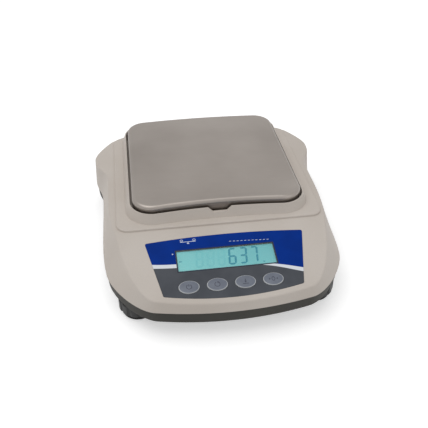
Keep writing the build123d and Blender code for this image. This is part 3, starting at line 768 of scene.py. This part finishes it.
def displayInk(name, colour, deep, glow):
    # painted glow: the ink shines with its own colour whatever light reaches it under the cover
    bench = Bench(name)
    bench.setShader(IOR=1.5, Roughness=0.5, Specular_IOR_Level=0.1, Emission_Strength=glow)
    cloud = bench.ramp(bench.noise(digitLook["cloudScale"], 2.0), 0.3, 0.7)
    tone = bench.mix(cloud, deep, colour)
    bench.paint(tone)
    bench.link(tone, bench.shader.inputs["Emission Color"])
    return bench.material


def layMark(mark, x, along, thick, ink):
    thicken(mark, thick)
    placeOnConsole(mark, x, along, digitLook["depth"])
    finishPiece(mark, ink, "housing")


def makeDigits():
    look = digitLook
    darkInk = displayInk("displayInk", look["ink"], look["inkDeep"], look["inkPaintedGlow"])
    faintInk = displayInk("displayFaintInk", look["faint"], look["faintDeep"], look["faintPaintedGlow"])
    for index, figure in enumerate(look["shown"]):
        digit = digitDrawing(figure, "digit" + str(index + 1))
        slanted(digit)
        layMark(digit, look["firstX"] + index * look["pitch"], look["middle"], look["thick"], darkInk)
    for index in range(look["ghostCount"]):
        ghost = digitDrawing("8", "restDigit" + str(index + 1))
        slanted(ghost)
        x = look["firstX"] - (index + 1) * look["pitch"]
        layMark(ghost, x, look["middle"], look["thick"] / 2, faintInk)
    for name, x, along, length in look["marks"]:
        layMark(barShape(length, look["markWidth"], name), x, along, look["thick"], darkInk)


makeDigits()
print("display digits made")


# symbols on the keys and small prints on the film
symbolLook = {
    "height": 4.6, "line": 0.55, "thick": 0.03, "ink": rgb(58, 62, 78), "inkDeep": rgb(48, 52, 68),
    # shares of the height
    "powerBar": 0.5, "powerUp": 0.3, "powerGap": 0.55,
    "turnTip": 0.42, "turnTipAt": (0.16, 0.42), "turnGap": 0.45,
    "sendTip": 0.5, "sendTipAt": -0.02, "sendStem": 0.5, "sendStemAt": 0.3, "sendBase": 1.1, "sendBaseAt": -0.42,
    "noughtSize": 0.44, "noughtSqueeze": 0.68, "zeroTip": 0.42, "zeroTipAt": 0.66,
}
filmPrints = {
    "thick": 0.02, "ink": rgb(214, 222, 236), "inkDeep": rgb(200, 208, 224), "inkScale": 700.0,
    "beamX": -30.4, "beamAlong": -15.2, "beamWidth": 13.0, "beamLine": 0.5, "standSize": 2.6, "standDrop": 1.5,
    "panRadius": 1.25, "panLine": 0.42, "panInset": 1.3, "panRise": 1.5,
    "tickFirst": 4.0, "tickPitch": 3.1, "tickCount": 11, "tickAlong": -18.6, "tickLength": 1.9, "tickLine": 0.45,
    "tickFall": -0.05, "arrows": [(-44.0, -26.6), (-44.4, -39.2)], "arrowSize": 1.7, "arrowCorner": 0.08,
}


def flatRing(radius, line, name, openAt=None):
    # flat ring, or with openAt an arc: its top is cut away where x is under openAt times y
    ring = freshObject(bpy.ops.mesh.primitive_circle_add, name, vertices=48, radius=radius, fill_type="NGON")
    only(ring)
    bpy.ops.object.mode_set(mode="EDIT")
    bpy.ops.mesh.select_all(action="SELECT")
    bpy.ops.mesh.inset(thickness=line, depth=0)
    bpy.ops.mesh.delete(type="FACE")
    if openAt is not None:
        mesh = bmesh.from_edit_mesh(ring.data)
        for face in mesh.faces:
            middle = face.calc_center_median()
            face.select_set(middle.y > 0 and abs(middle.x) < middle.y * openAt)
        bmesh.update_edit_mesh(ring.data)
        bpy.ops.mesh.delete(type="FACE")
    bpy.ops.object.mode_set(mode="OBJECT")
    return ring


def flatArrow(size, name, turn=0.0):
    # flat triangle that points along X, with its corners cut
    arrow = freshObject(bpy.ops.mesh.primitive_circle_add, name, vertices=3, radius=size / 2, fill_type="NGON")
    only(arrow)
    bpy.ops.object.mode_set(mode="EDIT")
    bpy.ops.mesh.select_all(action="SELECT")
    bpy.ops.mesh.bevel(offset=size * filmPrints["arrowCorner"], segments=2, affect="VERTICES")
    bpy.ops.object.mode_set(mode="OBJECT")
    arrow.rotation_euler = (0, 0, turn - pi / 2)
    settle(arrow)
    return arrow


def movedBy(piece, x, y, turn=0.0):
    piece.location = (x, y, 0)
    piece.rotation_euler = (0, 0, turn)
    settle(piece)
    return piece


def powerSymbol(name):
    look, tall, line = symbolLook, symbolLook["height"], symbolLook["line"]
    ring = flatRing(tall / 2, line, name + "Ring", look["powerGap"])
    bar = movedBy(barShape(tall * look["powerBar"], line, name + "Bar"), 0, tall * look["powerUp"], pi / 2)
    return joined([ring, bar], name)


def turnSymbol(name):
    # round arrow: steps through the units
    look, tall, line = symbolLook, symbolLook["height"], symbolLook["line"]
    ring = flatRing(tall / 2, line, name + "Ring", look["turnGap"])
    tip = flatArrow(tall * look["turnTip"], name + "Tip")
    tip = movedBy(tip, tall * look["turnTipAt"][0], tall * look["turnTipAt"][1])
    return joined([ring, tip], name)


def sendSymbol(name):
    # arrow down onto a line: hands the reading over
    look, tall, line = symbolLook, symbolLook["height"], symbolLook["line"]
    tip = movedBy(flatArrow(tall * look["sendTip"], name + "Tip", -pi / 2), 0, tall * look["sendTipAt"])
    stem = movedBy(barShape(tall * look["sendStem"], line, name + "Stem"), 0, tall * look["sendStemAt"], pi / 2)
    base = movedBy(barShape(tall * look["sendBase"], line, name + "Base"), 0, tall * look["sendBaseAt"])
    return joined([tip, stem, base], name)


def zeroSymbol(name):
    # a nought between two arrows: sets the reading to nothing
    look, tall, line = symbolLook, symbolLook["height"], symbolLook["line"]
    nought = flatRing(tall * look["noughtSize"], line, name + "Nought")
    nought.scale = (look["noughtSqueeze"], 1, 1)
    settle(nought)
    tip, away = tall * look["zeroTip"], tall * look["zeroTipAt"]
    left = movedBy(flatArrow(tip, name + "Left"), -away, 0)
    right = movedBy(flatArrow(tip, name + "Right", pi), away, 0)
    return joined([nought, left, right], name)


def printInk(name, colour, deep):
    bench = Bench(name)
    bench.setShader(IOR=1.5, Roughness=0.5)
    cloud = bench.ramp(bench.noise(filmPrints["inkScale"], 3.0), 0.3, 0.7)
    bench.paint(bench.mix(cloud, deep, colour))
    return bench.material


def makeSymbols():
    ink = printInk("keyInk", symbolLook["ink"], symbolLook["inkDeep"])
    drawings = (powerSymbol, turnSymbol, sendSymbol, zeroSymbol)
    for number, (draw, spot) in enumerate(zip(drawings, keys["spots"]), start=1):
        symbol = draw("keySymbol" + str(number))
        thicken(symbol, symbolLook["thick"])
        placeOnConsole(symbol, spot, -keys["drop"], keys["rise"])
        finishPiece(symbol, ink, "key_" + str(number))


def layPrint(drawing, x, along, ink):
    thicken(drawing, filmPrints["thick"])
    placeOnConsole(drawing, x, along, 0)
    finishPiece(drawing, ink, "housing")


def makeFilmPrints():
    look = filmPrints
    ink = printInk("filmInk", look["ink"], look["inkDeep"])
    beam = barShape(look["beamWidth"], look["beamLine"], "beamBar")
    stand = movedBy(flatArrow(look["standSize"], "beamStand", pi / 2), 0, -look["standDrop"])
    panAt = look["beamWidth"] / 2 - look["panInset"]
    pans = []
    for side in (-1, 1):
        ring = flatRing(look["panRadius"], look["panLine"], "beamPan" + str(side))
        pans.append(movedBy(ring, side * panAt, look["panRise"]))
    layPrint(joined([beam, stand] + pans, "beamPrint"), look["beamX"], look["beamAlong"], ink)
    tick = barShape(look["tickLength"], look["tickLine"], "tick")
    ticks = []
    for index in range(look["tickCount"]):
        x = index * look["tickPitch"]
        ticks.append(copyOf(tick, (x, x * look["tickFall"], 0)))
    bpy.data.objects.remove(tick)
    row = joined(ticks, "tickPrint")
    settle(row)
    layPrint(row, look["tickFirst"], look["tickAlong"], ink)
    for index, (x, along) in enumerate(look["arrows"], start=1):
        layPrint(flatArrow(look["arrowSize"], "rowArrow" + str(index)), x, along, ink)


makeSymbols()
makeFilmPrints()
print("symbols and prints made")


# bubble level under the pan, and the blank plate on the underside
levelLook = {
    "y": 94.0, "liquidLow": 51.7, "liquidHigh": 55.3, "radius": 5.3, "corner": 0.6,
    "bubbleRadius": 1.9, "bubbleHeight": 1.1, "bubbleOff": (0.4, 0.3), "bubbleDrop": 0.05, "bubbleFlat": 0.2,
    "ringRadius": 2.6, "ringLine": 0.3, "ringThick": 0.04, "glassTop": 57.5,
    "ringInk": rgb(40, 40, 40), "ringInkDeep": rgb(28, 28, 28), "smooth": 40, "merge": 0.001,
    "liquid": {
        "clear": 0.85, "dark": rgb(176, 214, 66), "light": rgb(196, 228, 92),
        "scale": 60.0, "roughLow": 0.02, "roughHigh": 0.06,
    },
    "bubble": {
        "clear": 0.6, "dark": rgb(238, 246, 214), "light": rgb(248, 252, 232),
        "scale": 90.0, "roughLow": 0.02, "roughHigh": 0.05,
    },
}


def makeLiquid():
    tall = (levelLook["liquidHigh"] - levelLook["liquidLow"]) * mm
    middle = (levelLook["liquidHigh"] + levelLook["liquidLow"]) / 2 * mm
    liquid = freshObject(
        bpy.ops.mesh.primitive_cylinder_add, "levelLiquid", vertices=48, radius=levelLook["radius"] * mm,
        depth=tall, location=(0, levelLook["y"] * mm, middle),
    )
    settle(liquid)
    only(liquid)
    bpy.ops.object.mode_set(mode="EDIT")
    mesh = bmesh.from_edit_mesh(liquid.data)
    for edge in mesh.edges:
        heights = [point.co.z for point in edge.verts]
        edge.select_set(max(heights) - min(heights) < tall / 4)
    bmesh.update_edit_mesh(liquid.data)
    bpy.ops.mesh.bevel(offset=levelLook["corner"] * mm, segments=4)
    bpy.ops.object.mode_set(mode="OBJECT")
    bpy.ops.object.shade_smooth_by_angle(angle=radians(levelLook["smooth"]))
    finishPiece(liquid, clearPart("levelLiquid", levelLook["liquid"]), "housing")


def makeBubble():
    # flattened where it rests against the glass
    top, tall, radius = levelLook["liquidHigh"], levelLook["bubbleHeight"], levelLook["bubbleRadius"]
    bubble = freshObject(
        bpy.ops.mesh.primitive_uv_sphere_add, "levelBubble", segments=32, ring_count=16, radius=radius * mm,
    )
    offX, offY = levelLook["bubbleOff"]
    bubble.scale = (1, 1, tall / 2 / radius)
    bubble.location = (offX * mm, (levelLook["y"] + offY) * mm, (top - tall / 2 - levelLook["bubbleDrop"]) * mm)
    settle(bubble)
    only(bubble)
    bpy.ops.object.mode_set(mode="EDIT")
    bpy.ops.mesh.select_all(action="SELECT")
    bpy.ops.mesh.bisect(
        plane_co=(0, 0, (top - levelLook["bubbleFlat"]) * mm), plane_no=(0, 0, 1),
        clear_outer=True, use_fill=True, threshold=levelLook["merge"] * mm,
    )
    bpy.ops.object.mode_set(mode="OBJECT")
    bpy.ops.object.shade_smooth_by_angle(angle=radians(levelLook["smooth"]))
    finishPiece(bubble, clearPart("levelBubble", levelLook["bubble"]), "housing")


def makeLevelRing():
    ring = flatRing(levelLook["ringRadius"], levelLook["ringLine"], "levelRing")
    thicken(ring, levelLook["ringThick"])
    ring.scale = (mm, mm, mm)
    ring.location = (0, levelLook["y"] * mm, levelLook["glassTop"] * mm)
    settle(ring)
    ink = printInk("levelInk", levelLook["ringInk"], levelLook["ringInkDeep"])
    finishPiece(ring, ink, "housing")


plateLook = {
    "place": (0, -24.0), "size": (58.0, 30.0), "corner": 2.5, "thick": 0.3, "top": 17.0,
    "finish": {
        "metallic": 0.6, "dark": rgb(188, 190, 192), "light": rgb(204, 206, 208), "brush": (50.0, 2400.0, 2400.0),
        "cloudScale": 40.0, "streak": 0.05, "roughLow": 0.4, "roughHigh": 0.5, "bump": 0.05,
    },
}


def makePlate():
    # bare plate with rounded corners under the tray
    plate = freshObject(bpy.ops.mesh.primitive_plane_add, "blankPlate", size=1.0)
    plate.scale = (*plateLook["size"], 1)
    settle(plate)
    only(plate)
    bpy.ops.object.mode_set(mode="EDIT")
    bpy.ops.mesh.select_all(action="SELECT")
    bpy.ops.mesh.bevel(offset=plateLook["corner"], segments=6, affect="VERTICES")
    bpy.ops.object.mode_set(mode="OBJECT")
    thicken(plate, -plateLook["thick"])
    plate.scale = (mm, mm, mm)
    x, y = plateLook["place"]
    plate.location = (x * mm, y * mm, plateLook["top"] * mm)
    settle(plate)
    finishPiece(plate, brushedMetal("blankPlate", plateLook["finish"]), "housing")


bendLook = {"end": 25.0, "cuts": 12, "merge": 0.001, "smooth": 30}


def makeLoadCell():
    # a copy of the beam, cut into slices between its fixed back end and its free front end, stands in for the
    # hidden node
    low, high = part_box("load_cell")
    fixedY, freeY = high[1] - bendLook["end"] * mm, low[1] + bendLook["end"] * mm
    beam = nodes["load_cell"].copy()
    beam.data = nodes["load_cell"].data.copy()
    beam.name = "bendingCell"
    beam.data.name = "bendingCell"
    bpy.context.scene.collection.objects.link(beam)
    only(beam)
    bpy.ops.object.parent_clear(type="CLEAR_KEEP_TRANSFORM")
    settle(beam)
    bpy.ops.object.mode_set(mode="EDIT")
    bpy.ops.mesh.select_all(action="SELECT")
    bpy.ops.mesh.remove_doubles(threshold=bendLook["merge"] * mm)
    for step in range(bendLook["cuts"] + 1):
        y = freeY + (fixedY - freeY) * step / bendLook["cuts"]
        bpy.ops.mesh.select_all(action="SELECT")
        bpy.ops.mesh.bisect(plane_co=(0, y, 0), plane_no=(0, 1, 0), threshold=bendLook["merge"] * mm)
    bpy.ops.object.mode_set(mode="OBJECT")
    bpy.ops.object.shade_smooth_by_angle(angle=radians(bendLook["smooth"]))
    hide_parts("load_cell")
    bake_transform(beam)


makeLiquid()
makeBubble()
makeLevelRing()
makePlate()
makeLoadCell()
print("level, plate and load cell made")
